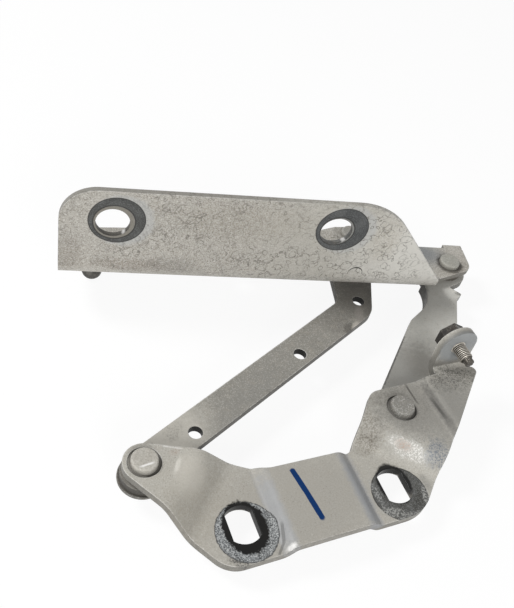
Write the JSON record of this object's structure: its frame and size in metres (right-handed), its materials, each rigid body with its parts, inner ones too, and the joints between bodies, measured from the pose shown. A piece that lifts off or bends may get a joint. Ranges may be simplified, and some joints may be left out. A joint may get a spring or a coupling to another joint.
{
  "type": "bonnet hinge",
  "caption": "Four-bar car bonnet hinge: stepped body bracket, two flat links and an angled bonnet bracket with a gas-strut ball stud, drawn open.",
  "frame": {"origin": "centre of the body bracket's front slot, on the face that meets the car body", "axes": "+X along the two body slots towards the rear slot, +Y towards the links and the bonnet bracket, +Z out of the car body along all four pivots"},
  "size_m": [0.2175, 0.18, 0.0735],
  "materials": {
    "painted_steel": "satin",
    "zinc_steel": "satin",
    "bush_liner": "matte"
  },
  "bodies": {
    "body_side": {"body_bracket": "painted_steel", "guide_stud": "zinc_steel", "guide_nut": "zinc_steel", "long_body_rivet": "painted_steel", "long_body_washer": "painted_steel", "short_body_rivet": "painted_steel", "short_body_washer": "painted_steel"},
    "short_link": {"short_link": "painted_steel", "short_body_bush": "bush_liner", "short_bonnet_bush": "bush_liner"},
    "bonnet_side": {"bonnet_bracket": "painted_steel", "ball_stud": "zinc_steel", "short_bonnet_rivet": "painted_steel", "short_bonnet_washer": "painted_steel", "long_bonnet_rivet": "painted_steel", "long_bonnet_washer": "painted_steel", "long_bonnet_spacer": "bush_liner"},
    "long_link": {"long_link": "painted_steel", "long_body_bush": "bush_liner"}
  },
  "joints": [
    {"name": "short_link_pivot", "type": "hinge", "parent": "body_side", "child": "short_link", "pos_m": [0.083, 0.029, 0.006], "axis": [0, 0, 1], "range_deg": [-2, 50]},
    {"name": "bonnet_pivot", "type": "hinge", "parent": "short_link", "child": "bonnet_side", "pos_m": [0.15803, 0.1089, 0.006], "axis": [0, 0, 1], "range_deg": [-82, 4]},
    {"name": "long_link_pivot", "type": "hinge", "parent": "body_side", "child": "long_link", "pos_m": [-0.031, 0.029, 0.006], "axis": [0, 0, 1], "range_deg": [-2, 29]}
  ],
  "couplings": [
    {"joint": "bonnet_pivot", "follows": "short_link_pivot", "ratio": -1.6226},
    {"joint": "long_link_pivot", "follows": "short_link_pivot", "ratio": 0.5675}
  ]
}
